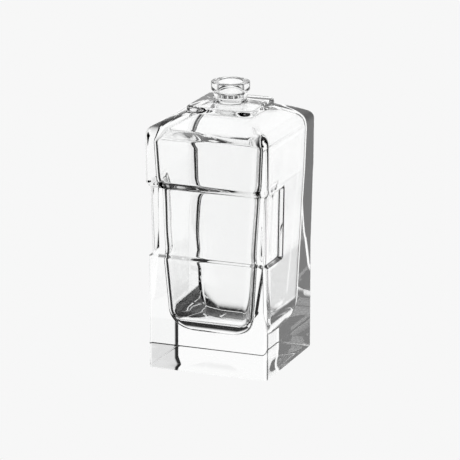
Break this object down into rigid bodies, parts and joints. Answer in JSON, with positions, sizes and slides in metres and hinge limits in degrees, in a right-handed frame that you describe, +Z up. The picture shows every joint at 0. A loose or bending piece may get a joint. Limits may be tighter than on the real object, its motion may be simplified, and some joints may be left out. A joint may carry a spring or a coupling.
{
  "type": "aftershave bottle",
  "caption": "Square clear-glass aftershave bottle with a heavy base, a sunk band across the front and a round crimp neck, open and without pump or cap.",
  "frame": {"origin": "middle of the flat face that the bottle stands on, on the axis of the neck", "axes": "+Z up along the neck, -Y towards the front face with the sunk band, +X to the right seen from the front"},
  "size_m": [0.05, 0.05, 0.1099],
  "materials": {
    "clear_glass": "clear flint glass, fire-polished, very slightly wavy"
  },
  "bodies": {
    "root": {"glass_bottle": "clear_glass"}
  },
  "joints": []
}
